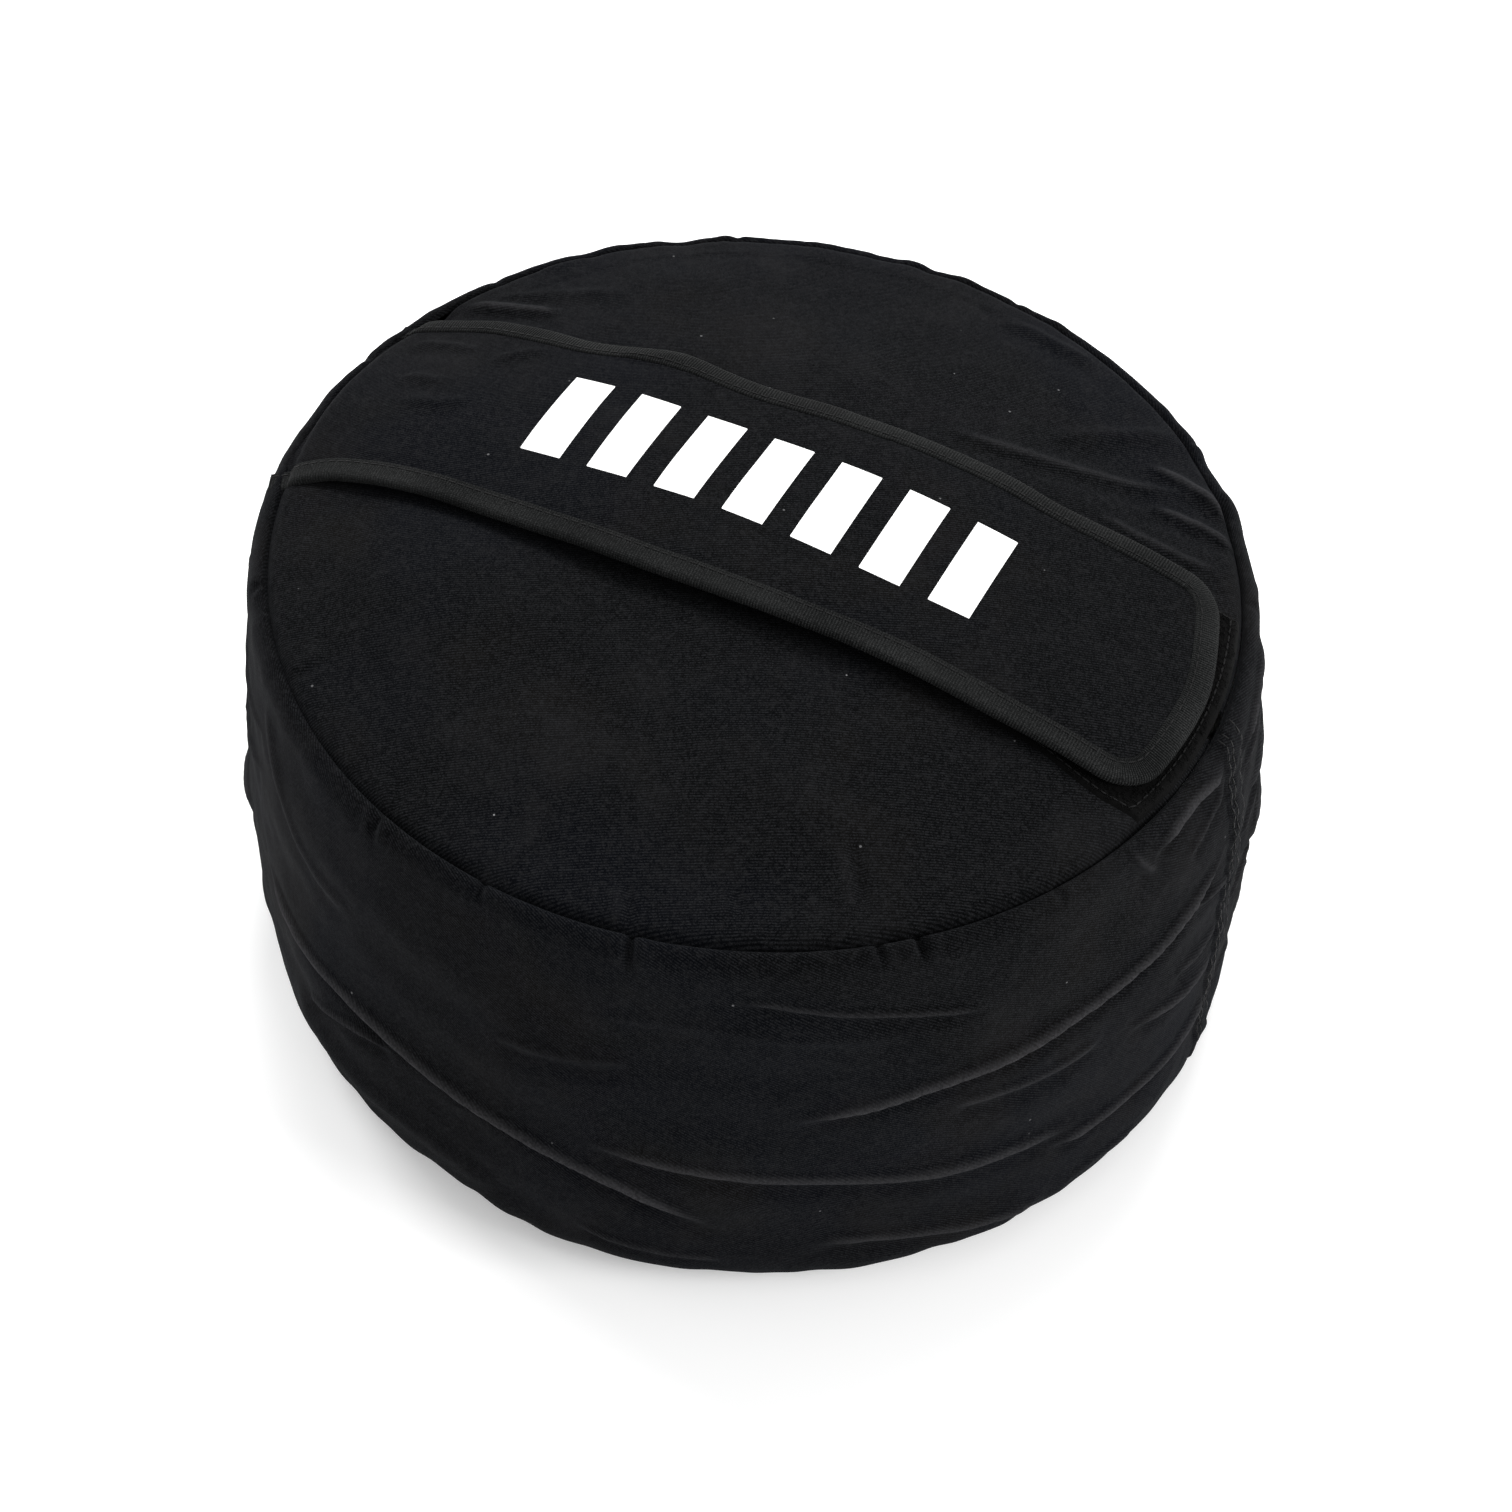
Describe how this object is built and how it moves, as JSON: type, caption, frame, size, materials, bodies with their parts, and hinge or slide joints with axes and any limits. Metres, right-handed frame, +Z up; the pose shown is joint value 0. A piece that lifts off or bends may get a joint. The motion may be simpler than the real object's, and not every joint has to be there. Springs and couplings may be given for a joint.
{
  "type": "round weight sandbag",
  "caption": "Drum-shaped canvas weight bag with a zipped domed top, a bound storm flap held by hook and loop, and a tied liner full of sand.",
  "frame": {"origin": "centre of the footprint, on the floor the bag stands on", "axes": "+Z up; +X along the storm flap, from its sewn edge to its free hook-and-loop end; +Y across the flap"},
  "size_m": [0.324, 0.324, 0.1871],
  "materials": {
    "canvas": "matte",
    "binding": "matte",
    "thread": "matte",
    "print": "matte",
    "loop_pile": "matte",
    "hook_tape": "satin",
    "zip_tape": "matte",
    "zip_teeth": "satin",
    "zip_metal": "satin",
    "liner": "satin",
    "tie": "satin",
    "sand": "matte"
  },
  "bodies": {
    "bag": {"side_wall": "canvas", "side_seam_thread": "thread", "bottom_panel": "canvas", "top_panel_front": "canvas", "top_panel_back": "canvas", "rim_seam_binding": "binding", "base_seam_binding": "binding", "zip_tape_front": "zip_tape", "zip_tape_back": "zip_tape", "zip_teeth_front": "zip_teeth", "zip_teeth_back": "zip_teeth", "zip_stops": "zip_metal", "zip_thread": "thread", "loop_patch": "loop_pile", "loop_thread": "thread", "flap_root": "canvas", "liner_bag": "liner", "liner_tie": "tie", "sand_fill": "sand"},
    "flap": {"flap_face": "canvas", "flap_lining": "canvas", "flap_binding": "binding", "flap_thread": "thread", "flap_print": "print"},
    "flap_end": {"flap_end_face": "canvas", "flap_end_lining": "canvas", "flap_end_binding": "binding", "flap_end_thread": "thread", "hook_patch": "hook_tape"},
    "slider": {"zip_slider": "zip_metal"},
    "pull_tab": {"zip_pull_tab": "zip_metal"}
  },
  "joints": [
    {"name": "flap_open", "type": "hinge", "parent": "bag", "child": "flap", "pos_m": [-0.14, 0.0055, 0.16645], "axis": [0, -1, 0], "range_deg": [0, 165]},
    {"name": "flap_end_peel", "type": "hinge", "parent": "flap", "child": "flap_end", "pos_m": [0.088, 0.0055, 0.17948], "axis": [0, -1, 0], "range_deg": [0, 140]},
    {"name": "zip_slide", "type": "hinge", "parent": "bag", "child": "slider", "pos_m": [0, 0.0055, -0.3945], "axis": [0, -1, 0], "range_deg": [0, 13.4]},
    {"name": "pull_tab_swing", "type": "hinge", "parent": "slider", "child": "pull_tab", "pos_m": [0.0614, 0.0055, 0.17804], "axis": [0, 1, 0], "range_deg": [0, 7.5]}
  ]
}
